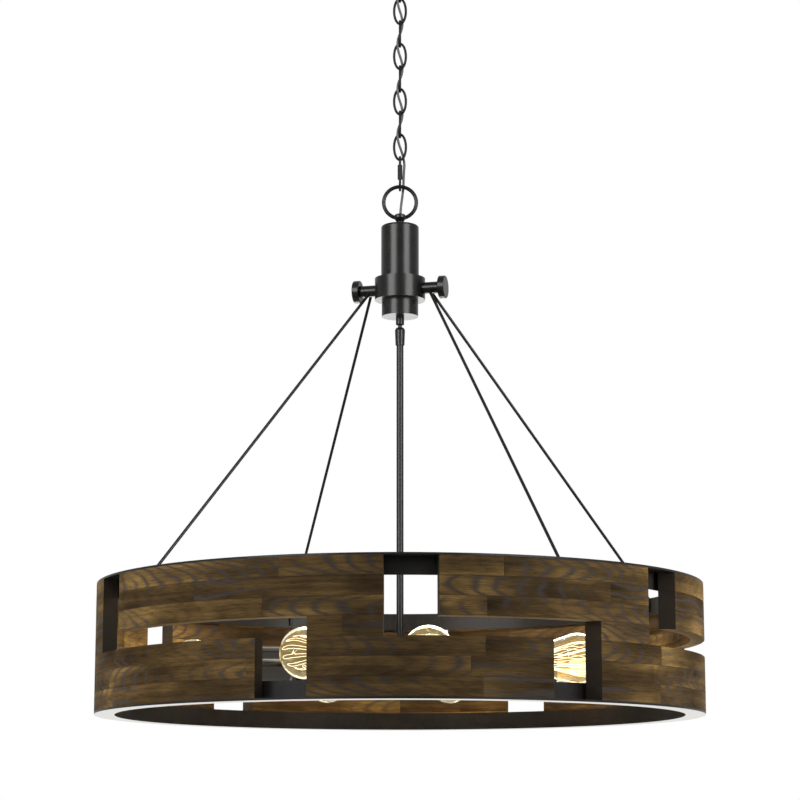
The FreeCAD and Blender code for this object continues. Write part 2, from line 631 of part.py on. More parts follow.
tube_root = val("dim.body_diameter / 2 - dim.body_wall - dim.tube_seat")
way = "dim.body_wall + 2 * dim.tube_seat"
ways = [cylinder("dim.tube_diameter / 2 + dim.turn_gap", way, place) for place in lamp_places(tube_root)]
node(cut(body, fuse(*ways)), "lamp_body")
cap = turned("lamp_cap", [
    ("0", "0"),
    ("dim.finial_tip / 2", "0"),
    ("dim.finial_diameter / 2", "dim.finial_belly"),
    ("dim.finial_neck / 2", "dim.finial_height"),
    ("dim.body_diameter / 2 - dim.cap_taper", "dim.finial_height"),
    ("dim.body_diameter / 2", "dim.finial_height + dim.cap_height - dim.cap_rim"),
    ("dim.body_diameter / 2", "dim.finial_height + dim.cap_height"),
    ("0", "dim.finial_height + dim.cap_height"),
])
node(cap, "lamp_cap", level(body_foot - val("dim.finial_height + dim.cap_height")))

# Lamps: arm, socket, core, bulb
socket_start = val("dim.socket_start")
tube = cylinder("dim.tube_diameter / 2", f"{socket_start - tube_root} + dim.socket_wall")
copies("lamp_arms", tube, lamp_places(tube_root))
socket = turned("socket_shell", [
    ("dim.tube_diameter / 2 + dim.turn_gap", "0"),
    ("dim.socket_diameter / 2 - dim.socket_chamfer", "0"),
    ("dim.socket_diameter / 2", "dim.socket_chamfer"),
    ("dim.socket_diameter / 2", "dim.socket_length"),
    ("dim.socket_diameter / 2 - dim.socket_wall", "dim.socket_length"),
    ("dim.socket_diameter / 2 - dim.socket_wall", "dim.socket_chamfer + dim.socket_wall"),
    ("dim.socket_diameter / 2 - dim.socket_chamfer - dim.socket_wall", "dim.socket_wall"),
    ("dim.tube_diameter / 2 + dim.turn_gap", "dim.socket_wall"),
])
copies("lamp_sockets", socket, lamp_places(socket_start))
core_start = socket_start + val("dim.socket_wall + dim.core_room")
core_floor = "dim.core_length - dim.base_length"
core = turned("core", [
    ("0", "0"),
    ("dim.socket_diameter / 2 - dim.socket_wall - dim.turn_gap", "0"),
    ("dim.socket_diameter / 2 - dim.socket_wall - dim.turn_gap", "dim.core_length"),
    ("dim.base_diameter / 2 + dim.swing_gap", "dim.core_length"),
    ("dim.base_diameter / 2 + dim.swing_gap", core_floor),
    ("0", core_floor),
])
copies("socket_cores", core, lamp_places(core_start))
base_start = core_start + val(core_floor)
base = turned("screw_base", [
    ("0", "0"),
    ("dim.base_contact / 2", "0"),
    ("dim.base_diameter / 2", "dim.base_cone"),
    ("dim.base_diameter / 2", "dim.base_length"),
    ("0", "dim.base_length"),
])
copies("bulb_bases", base, lamp_places(base_start))
glass_start = base_start + val("dim.base_length")


def teardrop(diameter, length, neck):
    """A ball with a cone down to the neck, neck on the origin."""
    radius = val(f"{diameter} / 2")
    distance = val(f"{length}") - radius
    lean = math.asin((radius - val(f"{neck} / 2")) / distance)
    sphere = bind(doc.addObject("Part::Sphere", "ball"), Radius=f"{diameter} / 2")
    sphere.Placement = level(distance)
    cone = bind(doc.addObject("Part::Cone", "cone"), Radius1=f"{neck} / 2")
    cone.Radius2 = radius * math.cos(lean)
    cone.Height = distance - radius * math.sin(lean)
    return fuse(sphere, cone)


hollow = teardrop("(dim.bulb_diameter - 2 * dim.glass_wall)", "(dim.bulb_length - dim.glass_wall)",
                  "(dim.bulb_neck - 2 * dim.glass_wall)")
glass = cut(teardrop("dim.bulb_diameter", "dim.bulb_length", "dim.bulb_neck"), hollow)
copies("bulb_glass", glass, lamp_places(glass_start))
post = turned("post", [
    ("0", "0"),
    ("dim.post_foot / 2", "0"),
    ("dim.post_diameter / 2", "dim.post_flare"),
    ("dim.post_diameter / 2", "dim.post_length"),
    ("0", "dim.post_length"),
])
copies("bulb_posts", post, lamp_places(glass_start))
filament_middle = glass_start + val("dim.post_length + dim.filament_length / 2")
filament = oval("(dim.filament_length - 2 * dim.filament_wire)", "dim.filament_width", "dim.filament_wire")
copies("filaments", filament, lamp_places(filament_middle))

# Drum: panels, filler blocks, screws and hoops
inner = "dim.drum_diameter / 2 - dim.hoop_flange"
hoop_section = [
    (inner, "0"),
    ("dim.drum_diameter / 2", "0"),
    ("dim.drum_diameter / 2", "dim.hoop_thickness"),
    (inner + " + dim.hoop_thickness", "dim.hoop_thickness"),
    (inner + " + dim.hoop_thickness", "dim.hoop_web"),
    (inner, "dim.hoop_web"),
]
strip = f"(dim.drum_height - 2 * dim.hoop_thickness) / {STRIPS}"
wood_outside = "dim.drum_diameter / 2"
wood_inside = "dim.drum_diameter / 2 - dim.wood_thickness"
screw_radius = val("dim.drum_diameter / 2 - dim.wood_thickness / 2")
top_face = FreeCAD.Placement(FreeCAD.Vector(0, 0, drum_top), upside_down)


def wood_screw(name, room):
    """A countersunk wood screw, head on the origin and point up, or the hole for one."""
    return turned(name, [
        ("0", "0"),
        (f"dim.screw_head / 2 + {room}", "0"),
        (f"dim.screw_diameter / 2 + {room}", "dim.screw_sink"),
        (f"dim.screw_diameter / 2 + {room}", "dim.screw_length - dim.screw_point"),
        ("0", f"dim.screw_length + {room}"),
    ])


def curved(height, start, angle, foot, lean=0):
    """A curved block of the drum's wood; with a lean, its inner edge begins before its outer edge."""
    sector = cylinder(wood_outside, height, None, f"{angle} + {lean}")
    piece = cut(sector, cylinder(wood_inside, height))
    turn = FreeCAD.Rotation(FreeCAD.Vector(0, 0, 1), start - lean - 90)
    piece.Placement = FreeCAD.Placement(FreeCAD.Vector(0, 0, foot), turn)
    if not lean:
        return piece
    outer = polar(val(wood_outside), start, foot)
    run = polar(val(wood_inside), start - lean, foot).sub(outer)
    wedge = doc.addObject("Part::Box", "wedge")
    bind(wedge, Length="2 * dim.wood_thickness", Width="dim.wood_thickness", Height=height)
    wedge_turn = FreeCAD.Rotation(FreeCAD.Vector(0, 0, 1), math.degrees(math.atan2(run.y, run.x)))
    wedge.Placement = FreeCAD.Placement(outer, wedge_turn)
    return cut(piece, wedge)


def screw_places(start, angle, is_upper):
    """The two screws of a panel, through the flange above or below it."""
    inset = val("dim.screw_inset")
    face = drum_top if is_upper else drum_foot
    turn = upside_down if is_upper else FreeCAD.Rotation()
    spots = [polar(screw_radius, spot, face) for spot in (start + inset, start + val(angle) - inset)]
    return [FreeCAD.Placement(spot, turn) for spot in spots]


def panel(label, start, angle, is_upper, lean=0):
    """One curved wood panel with its two screw holes; gives the screws' places."""
    foot = upper_foot if is_upper else lower_foot
    places = screw_places(start, angle, is_upper)
    block = curved(f"{strip} * {PANEL_STRIPS}", start, angle, foot, lean)
    node(cut(block, group("screw_holes", screw_hole, places)), label)
    return places


screw = wood_screw("screw", "0")
screw_hole = wood_screw("screw_hole", "dim.turn_gap")
unit_angle = 360 / UNITS
gap = (unit_angle - val("dim.long_angle + dim.short_angle")) / 2
lower_foot = drum_foot + val("dim.hoop_thickness")
filler_foot = lower_foot + val(strip) * PANEL_STRIPS
upper_foot = filler_foot + val(strip)
long_angle = val("dim.long_angle")
short_angle = val("dim.short_angle")
end_lean = val("dim.end_lean")
fillers = []
upper_screws = []
lower_screws = []
for unit in range(UNITS):
    turn = unit * unit_angle
    upper_long = val("dim.upper_start") + turn
    upper_short = upper_long + long_angle + gap
    lower_short = val("dim.lower_start") + turn
    lower_long = lower_short + unit_angle - gap - val("dim.lower_long_angle")
    upper_screws += panel(f"upper_panel_{2 * unit + 1}", upper_long, "dim.long_angle", True, end_lean)
    upper_screws += panel(f"upper_panel_{2 * unit + 2}", upper_short, "dim.short_angle", True)
    lower_screws += panel(f"lower_panel_{2 * unit + 1}", lower_short, "dim.short_angle", False)
    lower_screws += panel(f"lower_panel_{2 * unit + 2}", lower_long, "dim.lower_long_angle", False, end_lean)
    ends = [(lower_short, upper_long + long_angle, 0), (lower_long, upper_short + short_angle, end_lean)]
    for start, end, lean in ends:
        fillers.append(curved(strip, start, f"{end - start}", filler_foot, lean))
blocks = doc.addObject("Part::Compound", "filler_blocks")
blocks.Links = fillers
node(blocks, "filler_blocks")
copies("panel_screws", screw, upper_screws + lower_screws)

lower_hoop = turned("lower_hoop", hoop_section)
lower_hoop.Placement = level(drum_foot)
node(cut(lower_hoop, group("lower_holes", screw_hole, lower_screws)), "bottom_hoop")
upper_hoop = turned("upper_hoop", hoop_section)
upper_hoop.Placement = top_face
node(cut(upper_hoop, group("upper_holes", screw_hole, upper_screws)), "top_hoop")

# Cord, woven down the chain from the ceiling cover to the hub
weave = val("dim.cord_weave")
lead = val("dim.cup_height + dim.cord_lead")
route = [FreeCAD.Vector(0, 0, upper_cup + val("dim.cord_lead")), FreeCAD.Vector(0, 0, upper_cup - lead)]
for crossing in range(link_count + 1):
    sign = -1 if crossing % 2 else 1
    route.append(FreeCAD.Vector(weave * sign, weave * sign, chain_top + swing_gap / 2 - crossing * pitch))
beside = val("dim.cord_beside")
route.append(FreeCAD.Vector(beside, beside, quick_middle))
route.append(FreeCAD.Vector(beside - swing_gap, beside + swing_gap, hub_ring + ring_bore))
route.append(FreeCAD.Vector(0, 0, column_top + lead))
route.append(FreeCAD.Vector(0, 0, column_top - val("dim.cord_lead")))


def cord_path(points):
    """Straight runs joined by the largest tangent arcs that they allow."""
    edges = []
    last = points[0]
    for before, point, after in zip(points, points[1:], points[2:]):
        back = before.sub(point)
        on = after.sub(point)
        tangent = BEND_SHARE * min(back.Length, on.Length)
        back.normalize()
        on.normalize()
        start = point + back * tangent
        end = point + on * tangent
        half_turn = (math.pi - back.getAngle(on)) / 2
        radius = tangent / math.tan(half_turn)
        inward = (back + on).normalize()
        apex = point + inward * (radius / math.cos(half_turn) - radius)
        print("cord bend radius", round(radius, 1))
        edges.append(Part.LineSegment(last, start).toShape())
        edges.append(Part.Arc(start, apex, end).toShape())
        last = end
    edges.append(Part.LineSegment(last, points[-1]).toShape())
    return Part.Wire(edges)


path = cord_path(route)
ring = Part.makeCircle(val("dim.cord_diameter / 2"), route[0], FreeCAD.Vector(0, 0, -1))
cord_shape = path.makePipeShell([Part.Wire([ring])], True, False)
expected = path.Length * math.pi * val("dim.cord_diameter / 2") ** 2
print("cord length", round(path.Length, 1), "volume ratio", round(cord_shape.Volume / expected, 4))
cord = doc.addObject("Part::Feature", "cord")
cord.Shape = cord_shape
node(cord, "cord", FreeCAD.Placement())

# Test and write
doc.recompute()
for item in doc.Objects:
    if "Invalid" in item.State or "Error" in item.State:
        raise RuntimeError(f"{item.Label} failed: {item.State}")
for item in nodes:
    if item.Shape.isNull() or not item.Shape.isValid():
        raise RuntimeError(f"{item.Label} has no valid shape")
os.makedirs("parts", exist_ok=True)
for item in nodes:
    item.Shape.exportStep(f"parts/{item.Label}.step")
print(len(nodes), "nodes written; drum top", round(drum_top, 2), "lamp level", round(lamp_level, 2))
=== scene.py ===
"""Looks of a drum chandelier: stained wood panels between two hoops, hung on rods and a chain.

Every piece is in metres in the frame of the solids: the origin is on the ceiling, +Z is up and
-Y is towards the camera.
"""
import json
import logging
import math
from dataclasses import dataclass
from enum import Enum
from typing import Any, Protocol, Sequence

import bpy
from mathutils import Matrix, Vector


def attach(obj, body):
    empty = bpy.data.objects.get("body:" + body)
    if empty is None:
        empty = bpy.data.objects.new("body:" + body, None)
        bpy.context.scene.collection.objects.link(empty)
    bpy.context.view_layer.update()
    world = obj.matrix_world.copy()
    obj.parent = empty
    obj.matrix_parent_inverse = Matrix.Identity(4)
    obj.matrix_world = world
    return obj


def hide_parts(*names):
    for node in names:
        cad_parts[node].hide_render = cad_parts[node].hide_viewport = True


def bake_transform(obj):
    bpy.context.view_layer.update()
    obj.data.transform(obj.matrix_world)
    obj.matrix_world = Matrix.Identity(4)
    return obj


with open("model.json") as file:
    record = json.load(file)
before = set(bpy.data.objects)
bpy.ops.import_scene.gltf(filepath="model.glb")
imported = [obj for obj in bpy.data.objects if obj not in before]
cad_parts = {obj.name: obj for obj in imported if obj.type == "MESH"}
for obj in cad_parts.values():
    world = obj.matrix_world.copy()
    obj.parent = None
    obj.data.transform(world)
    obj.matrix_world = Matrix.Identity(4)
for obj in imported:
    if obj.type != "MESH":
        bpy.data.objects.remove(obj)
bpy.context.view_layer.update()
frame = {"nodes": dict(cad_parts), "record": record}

LOG = logging.getLogger("chandelier")
Colour = tuple[float, float, float]
Point = tuple[float, float, float]
Span = tuple[float, float]
WHITE: Colour = (1.0, 1.0, 1.0)


class Slot(Enum):
    """Finishes that the part is dressed in."""

    WALNUT = "walnut"
    BRONZE = "dark_bronze"
    HOOP = "hoop_steel"
    CHAIN = "black_chain"
    ZINC = "zinc_steel"
    AMBER = "amber_glass"
    CLEAR = "clear_glass"
    FILAMENT = "hot_filament"
    BRASS = "brass_screw"
    PORCELAIN = "porcelain"
    CORD = "cord_sheath"


class Value:
    """A shader socket that takes part in Python arithmetic."""

    def __init__(self, shader: "Shader", socket: bpy.types.NodeSocket) -> None:
        """Hold a socket of a shader's tree."""
        self.shader = shader
        self.socket = socket

    def _math(self, operation: str, first: "Operand", second: "Operand") -> "Value":
        """Add a Math node on two values or numbers."""
        return self.shader.node("ShaderNodeMath", {"operation": operation}, {0: first, 1: second})

    def __add__(self, other: "Operand") -> "Value":
        """Sum."""
        return self._math("ADD", self, other)

    __radd__ = __add__

    def __mul__(self, other: "Operand") -> "Value":
        """Product."""
        return self._math("MULTIPLY", self, other)

    __rmul__ = __mul__

    def __sub__(self, other: "Operand") -> "Value":
        """Difference."""
        return self._math("SUBTRACT", self, other)

    def __rsub__(self, other: "Operand") -> "Value":
        """Difference, the other way round."""
        return self._math("SUBTRACT", other, self)

    def __truediv__(self, other: "Operand") -> "Value":
        """Quotient."""
        return self._math("DIVIDE", self, other)

    def __rtruediv__(self, other: "Operand") -> "Value":
        """Quotient, the other way round."""
        return self._math("DIVIDE", other, self)

    def __gt__(self, other: "Operand") -> "Value":
        """One where this is greater, otherwise zero."""
        return self._math("GREATER_THAN", self, other)

    def __lt__(self, other: "Operand") -> "Value":
        """One where this is less, otherwise zero."""
        return self._math("LESS_THAN", self, other)

    def floor(self) -> "Value":
        """Whole part."""
        return self._math("FLOOR", self, 0.0)

    def fraction(self) -> "Value":
        """Part after the point."""
        return self._math("FRACT", self, 0.0)

    def sine(self) -> "Value":
        """Sine of an angle in radians."""
        return self._math("SINE", self, 0.0)

    def wave(self) -> "Value":
        """Zero to one and back over each turn of an angle in radians."""
        return self.sine() * 0.5 + 0.5

    def power(self, other: "Operand") -> "Value":
        """This to a power."""
        return self._math("POWER", self, other)

    def largest(self, other: "Operand") -> "Value":
        """The greater of two."""
        return self._math("MAXIMUM", self, other)

    def arctan2(self, other: "Operand") -> "Value":
        """Angle of a point from its two coordinates."""
        return self._math("ARCTAN2", self, other)


Operand = Value | float
Input = Operand | Colour


class Shader:
    """One material and the nodes in it."""

    MIX_FACTOR = 0
    MIX_FIRST = 6
    MIX_SECOND = 7
    MIX_RESULT = 2

    def __init__(self, name: str) -> None:
        """Start an empty material.

        Args:
            name: the material's name.
        """
        self.material = bpy.data.materials.new(name)
        self.material.use_nodes = True
        self.tree = self.material.node_tree
        self.tree.nodes.clear()
        self.output = self.tree.nodes.new("ShaderNodeOutputMaterial")

    def node(self, kind: str, settings: dict[str, Any] | None = None,
             inputs: dict[Any, Any] | None = None, out: str | int = 0) -> Value:
        """Add a node.

        Args:
            kind: the node's type.
            settings: its properties; "stops" fills a colour ramp.
            inputs: values or links by socket name or number.
            out: the output socket to hand back.

        Returns:
            The chosen output.
        """
        item = self.tree.nodes.new(kind)
        for key, value in (settings or {}).items():
            if key == "stops":
                ramp = item.color_ramp
                while len(ramp.elements) < len(value):
                    ramp.elements.new(0.5)
                for element, (place, colour) in zip(ramp.elements, value):
                    element.position = place
                    element.color = (*colour, 1.0)
            else:
                setattr(item, key, value)
        for key, value in (inputs or {}).items():
            socket = item.inputs[key]
            if isinstance(value, Value):
                self.tree.links.new(value.socket, socket)
            elif isinstance(value, tuple) and socket.type == "RGBA":
                socket.default_value = (*value, 1.0)
            else:
                socket.default_value = value
        return Value(self, item.outputs[out])

    def split(self, coordinate: str) -> tuple[Value, Value, Value]:
        """Split a texture coordinate.

        Args:
            coordinate: the coordinate's name.

        Returns:
            Its three parts.
        """
        spot = self.node("ShaderNodeTexCoord", out=coordinate)
        parts = [self.node("ShaderNodeSeparateXYZ", None, {0: spot}, axis) for axis in range(3)]
        return parts[0], parts[1], parts[2]

    def place(self) -> tuple[Value, Value, Value]:
        """The surface point's three object coordinates."""
        return self.split("Object")

    def vector(self, x: Operand, y: Operand, z: Operand) -> Value:
        """Three values as a vector."""
        return self.node("ShaderNodeCombineXYZ", None, {0: x, 1: y, 2: z})

    def noise(self, vector: Value, scale: float, detail: float, rough: float) -> Value:
        """Fractal noise between 0 and 1.

        Args:
            vector: where it is read.
            scale: cells per unit.
            detail: octaves.
            rough: weight of the fine octaves.

        Returns:
            The noise.
        """
        inputs = {"Vector": vector, "Scale": scale, "Detail": detail, "Roughness": rough}
        return self.node("ShaderNodeTexNoise", None, inputs)

    def chance(self, dimensions: str, **inputs: Value) -> Value:
        """A number between 0 and 1 that jumps with its input, in "1D" or "3D"."""
        return self.node("ShaderNodeTexWhiteNoise", {"noise_dimensions": dimensions}, inputs)

    def ramp(self, value: Value, stops: Sequence[tuple[float, Colour]]) -> Value:
        """A colour ramp over a value."""
        return self.node("ShaderNodeValToRGB", {"stops": list(stops)}, {0: value})

    def mix(self, factor: Operand, first: Input, second: Input, kind: str = "MIX") -> Value:
        """Mix two colours.

        Args:
            factor: share of the second colour.
            first: the first colour.
            second: the second colour.
            kind: how the second is laid on the first.

        Returns:
            The mixed colour.
        """
        settings = {"data_type": "RGBA", "blend_type": kind}
        inputs = {self.MIX_FACTOR: factor, self.MIX_FIRST: first, self.MIX_SECOND: second}
        return self.node("ShaderNodeMix", settings, inputs, self.MIX_RESULT)

    def range(self, value: Value, span: Span, to: Span = (0.0, 1.0)) -> Value:
        """Map a value's span smoothly to another.

        Args:
            value: the value.
            span: where it starts and ends.
            to: what these become.

        Returns:
            The mapped value.
        """
        inputs = {"Value": value, "From Min": span[0], "From Max": span[1],
                  "To Min": to[0], "To Max": to[1]}
        return self.node("ShaderNodeMapRange", {"interpolation_type": "SMOOTHSTEP"}, inputs)

    def bump(self, height: Value, strength: float, distance: float) -> Value:
        """A normal that a height tilts."""
        inputs = {"Height": height, "Strength": strength, "Distance": distance}
        return self.node("ShaderNodeBump", None, inputs)

    def finish(self, shader: Value) -> bpy.types.Material:
        """Put a shader on the material's surface and hand the material back."""
        self.tree.links.new(shader.socket, self.output.inputs["Surface"])
        return self.material

    def surface(self, **inputs: Input) -> bpy.types.Material:
        """Finish the material with a Principled surface.

        Args:
            inputs: its sockets by name, with _ for a space.

        Returns:
            The material.
        """
        named = {key.replace("_", " "): value for key, value in inputs.items()}
        return self.finish(self.node("ShaderNodeBsdfPrincipled", None, named))


class Finish(Protocol):
    """What a slot is dressed in."""

    def make(self, name: str) -> bpy.types.Material:
        """Make the material under a name."""


@dataclass(frozen=True)
class Grain:
    """A layer of noise in the wood.

    Its cells per metre run round the drum, upward and inward; octaves and rough set its fineness;
    beside and above are how many cells it shifts from board to board.
    """

    along: float
    up: float
    inward: float
    octaves: float
    rough: float
    beside: float
    above: float = 0.0


@dataclass(frozen=True)
class Stain:
    """How much each cause lightens the wood, where the colours of the stain lie, and the colour of
    the painted light on the undersides.
    """

    first_chance: float = 0.12
    second_chance: float = 0.04
    streak: float = 0.42
    cloud: float = 0.95
    pores: float = 0.20
    late: float = 0.04
    level: float = 0.490
    stops: tuple[float, ...] = (0.14, 0.34, 0.50, 0.72)
    darkest: Colour = (0.0105, 0.0066, 0.0030)
    dark: Colour = (0.0290, 0.0180, 0.0072)
    middle: Colour = (0.0600, 0.0372, 0.0135)
    light: Colour = (0.1350, 0.0860, 0.0300)
    grey: Colour = (0.0250, 0.0208, 0.0184)
    end: Colour = (0.0165, 0.0138, 0.0110)
    # painted light: the pale colour laid on downward faces, as though lit from below
    edge: Colour = (0.1500, 0.1050, 0.0520)


@dataclass(frozen=True)
class Arches:
    """Growth rings: nested arches on flat-sawn boards and straight lines on the others."""

    shift: float = 0.5
    slant_middle: float = 0.67
    slant: float = 5.0
    depth: float = 2.6
    sway: float = 2.6
    count: float = 5.4
    plain_count: float = 9.0
    plain_sway: float = 14.0
    plain_shift: float = 30.0
    plain_share: float = 0.34

    def rings(self, place: Value, level: Value, sway: Value, chance: Value, second: Value) -> Value:
        """Draw the rings.

        Args:
            place: place along the board in strip heights.
            level: height counted in strips.
            sway: slow noise that bends the rings.
            chance: first chance of the board.
            second: second chance of the board.

        Returns:
            Zero to one across each ring.
        """
        middle = level.fraction() - 0.5 + (second - 0.5) * self.shift
        way = (second > 0.5) * 2.0 - 1.0
        slant = (chance - self.slant_middle) * self.slant
        bow = middle * middle * self.depth
        arch = (place * way + bow + middle * slant + sway * self.sway) * self.count
        plain = level * self.plain_count + sway * self.plain_sway + chance * self.plain_shift
        flat_sawn = chance > self.plain_share
        return (arch * flat_sawn + plain * (1.0 - flat_sawn)).wave()


@dataclass(frozen=True)
class WoodFinish:
    """Stained hardwood glued up from short boards that run round the drum."""

    radius: float = 0.400
    foot: float = -1.1063
    strip: float = 0.165 / 7
    board: float = 0.270
    row_shift: float = 3.7
    row_step: float = 0.31
    chance_tags: tuple[float, ...] = (0.0, 7.3)
    seam_foot: float = 0.022
    seam_head: float = 0.984
    butt_joint: float = 0.0035
    butt_depth: float = 0.6
    sway: Grain = Grain(9.0, 30.0, 24.0, octaves=2.0, rough=0.45, beside=41.0, above=9.0)
    pores: Grain = Grain(60.0, 800.0, 300.0, octaves=4.0, rough=0.65, beside=13.0)
    streak: Grain = Grain(5.0, 150.0, 60.0, octaves=4.0, rough=0.6, beside=17.0)
    cloud: Grain = Grain(8.0, 22.0, 12.0, octaves=2.0, rough=0.5, beside=15.0, above=7.0)
    patch: Grain = Grain(5.0, 14.0, 5.0, octaves=1.0, rough=0.5, beside=23.0, above=3.0)
    arches: Arches = Arches()
    stain: Stain = Stain()
    late_power: float = 3.0
    figure_span: Span = (0.42, 0.56)
    figure_share: float = 0.85
    flash_span: Span = (0.0, 2.6)
    flash_cloud: Span = (0.42, 0.62)
    flash_from: float = 0.55
    flash_share: float = 0.28
    pore_span: Span = (0.30, 0.54)
    pore_shade: Span = (0.68, 1.06)
    seam_share: float = 0.40
    end_turn: float = 0.5
    end_share: float = 0.90
    # where the painted light from below falls: downward faces above a height, and how strongly
    lit_underside_turn: float = -0.8
    lit_underside_above: float = -1.06
    lit_underside_share: float = 0.85
    rough: float = 0.58
    rough_pores: float = 0.16
    rough_late: float = 0.06
    raised_pores: float = 0.7
    sunk_late: float = 0.4
    sunk_seam: float = 1.2
    relief: float = 0.30
    relief_depth: float = 0.0006
    shine: float = 0.012

    def boards(self, s: Shader, along: Value, level: Value) -> tuple[Value, Value, Value, Value]:
        """Place along a board, a seam mask and two chances that differ from board to board.

        Args:
            s: the material's nodes.
            along: metres round the drum.
            level: height counted in strips.

        Returns:
            Place along the board in strip heights, the seam mask and the two chances.
        """
        row = level.floor()
        shift = s.chance("1D", W=row + 0.5)
        length = along / self.board + shift * self.row_shift + row * self.row_step
        number = length.floor()
        spots = (s.vector(number, row, tag) for tag in self.chance_tags)
        first, second = (s.chance("3D", Vector=spot) for spot in spots)
        side = level.fraction()
        butt = (length.fraction() < self.butt_joint) * self.butt_depth
        seam = (side < self.seam_foot).largest(side > self.seam_head).largest(butt)
        return length.fraction() * (self.board / self.strip), seam, first, second

    def colour(self, s: Shader, tone: Value, late: Value, pores: Value, cloud: Value, patch: Value,
               place: Value, second: Value) -> Value:
        """Colour of the boards' faces.

        Args:
            s: the material's nodes.
            tone: lightness of the stain.
            late: mask of the late wood in the rings.
            pores: fine noise of the pores.
            cloud: slow noise of the stain.
            patch: slow noise that lets the rings come and go.
            place: place along the board in strip heights.
            second: second chance of the board.

        Returns:
            The colour.
        """
        shades = (self.stain.darkest, self.stain.dark, self.stain.middle, self.stain.light)
        colour = s.ramp(tone, list(zip(self.stain.stops, shades)))
        figure = s.range(patch, self.figure_span)
        colour = s.mix(late * figure * self.figure_share, colour, self.stain.grey)
        near = s.range(place, self.flash_span, (1.0, 0.0))
        flash = near * (second > self.flash_from) * s.range(cloud, self.flash_cloud)
        colour = s.mix(flash * self.flash_share, colour, self.stain.light)
        fine = s.range(pores, self.pore_span, self.pore_shade)
        return s.mix(1.0, colour, s.vector(fine, fine, fine), "MULTIPLY")

    def make(self, name: str) -> bpy.types.Material:
        """Boards with growth rings, pores, dark joints, dark end grain and painted light that makes
        the undersides pale.

        Args:
            name: the material's name.

        Returns:
            The material.
        """
        s = Shader(name)
        x, y, z = s.place()
        depth = (x * x + y * y).power(0.5)
        along = x.arctan2(y * -1.0) * self.radius
        level = (z - self.foot) / self.strip
        place, seam, chance, second = self.boards(s, along, level)

        def layer(grain: Grain, beside: Value, above: Value) -> Value:
            """Draw one layer of noise, shifted so that no two boards look alike.

            Args:
                grain: the layer.
                beside: the board's chance that shifts it along.
                above: the board's chance that shifts it up.

            Returns:
                The noise.
            """
            wide = along * grain.along + beside * grain.beside
            tall = z * grain.up + above * grain.above
            where = s.vector(wide, tall, depth * grain.inward)
            return s.noise(where, scale=1.0, detail=grain.octaves, rough=grain.rough)

        sway = layer(self.sway, chance, chance)
        late = self.arches.rings(place, level, sway, chance, second).power(self.late_power)
        pores = layer(self.pores, chance, chance)
        streak = layer(self.streak, second, second)
        cloud = layer(self.cloud, second, second)
        patch = layer(self.patch, second, chance)
        stain = self.stain
        tone = (chance * stain.first_chance + second * stain.second_chance + streak * stain.streak
                + cloud * stain.cloud + pores * stain.pores - late * stain.late - stain.level)
        colour = self.colour(s, tone, late, pores, cloud, patch, place, second)
        colour = s.mix(seam * self.seam_share, colour, stain.darkest)
        east, north, upward = s.split("Normal")
        turned = (north * x - east * y) / depth
        cut_end = (turned * turned) > self.end_turn
        colour = s.mix(cut_end * self.end_share, colour, stain.end)
        # painted light: the downward faces of the upper panels are made pale, as though lit from
        # below
        lit_underside = (upward < self.lit_underside_turn) * (z > self.lit_underside_above)
        colour = s.mix(lit_underside * self.lit_underside_share, colour, stain.edge)
        rough = pores * self.rough_pores + self.rough - late * self.rough_late
        height = pores * self.raised_pores - late * self.sunk_late - seam * self.sunk_seam
        normal = s.bump(height, self.relief, self.relief_depth)
        return s.surface(Base_Color=colour, Roughness=rough, Normal=normal,
                         Specular_IOR_Level=self.shine)


class Brush(Enum):
    """Which way a metal's polishing lines run, as lines per metre along X, Y and Z."""

    ROUND = (40.0, 40.0, 2600.0)
    FINE = (240.0, 240.0, 240.0)


